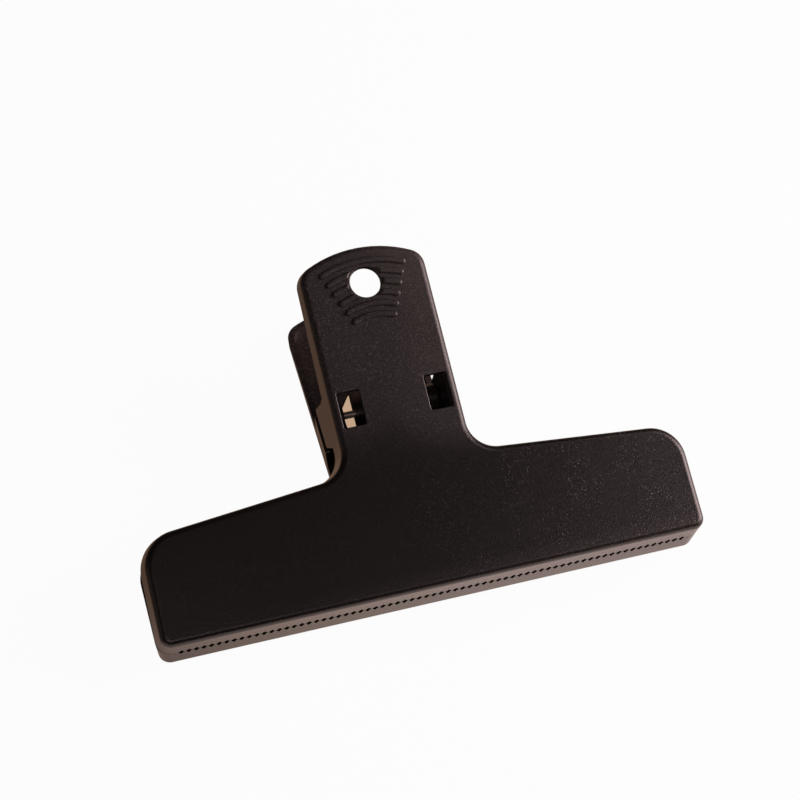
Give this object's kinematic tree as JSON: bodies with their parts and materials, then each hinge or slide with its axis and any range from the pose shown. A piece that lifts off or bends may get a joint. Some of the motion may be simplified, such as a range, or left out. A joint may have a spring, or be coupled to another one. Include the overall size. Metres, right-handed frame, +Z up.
{
  "type": "bulldog clip",
  "caption": "Wide sprung bulldog clip: T-shaped plastic jaw halves hinged on a steel pin, with toothed lips, curved grip ridges and a hang hole in each handle.",
  "frame": {"origin": "centre of the overall box, at its bottom, on the surface the clip lies on", "axes": "+X along the lips, +Y from the lips to the handle end, +Z up from the back half to the front half"},
  "size_m": [0.1538, 0.0992, 0.0465],
  "materials": {
    "black_plastic": "satin moulded, fine grain",
    "pin_steel": "bright drawn",
    "spring_steel": "drawn wire, slightly dull"
  },
  "bodies": {
    "back_half": {"back_shell": "black_plastic", "hinge_pin": "pin_steel", "torsion_spring": "spring_steel"},
    "front_half": {"front_shell": "black_plastic"}
  },
  "joints": [
    {"name": "jaw_hinge", "type": "hinge", "parent": "back_half", "child": "front_half", "pos_m": [0, 0.00673, 0.0177], "axis": [-1, 0, 0], "range_deg": [0, 42], "stiffness_Nm_per_rad": 0.45, "springref_deg": -34.38, "deforming": ["torsion_spring"]}
  ]
}
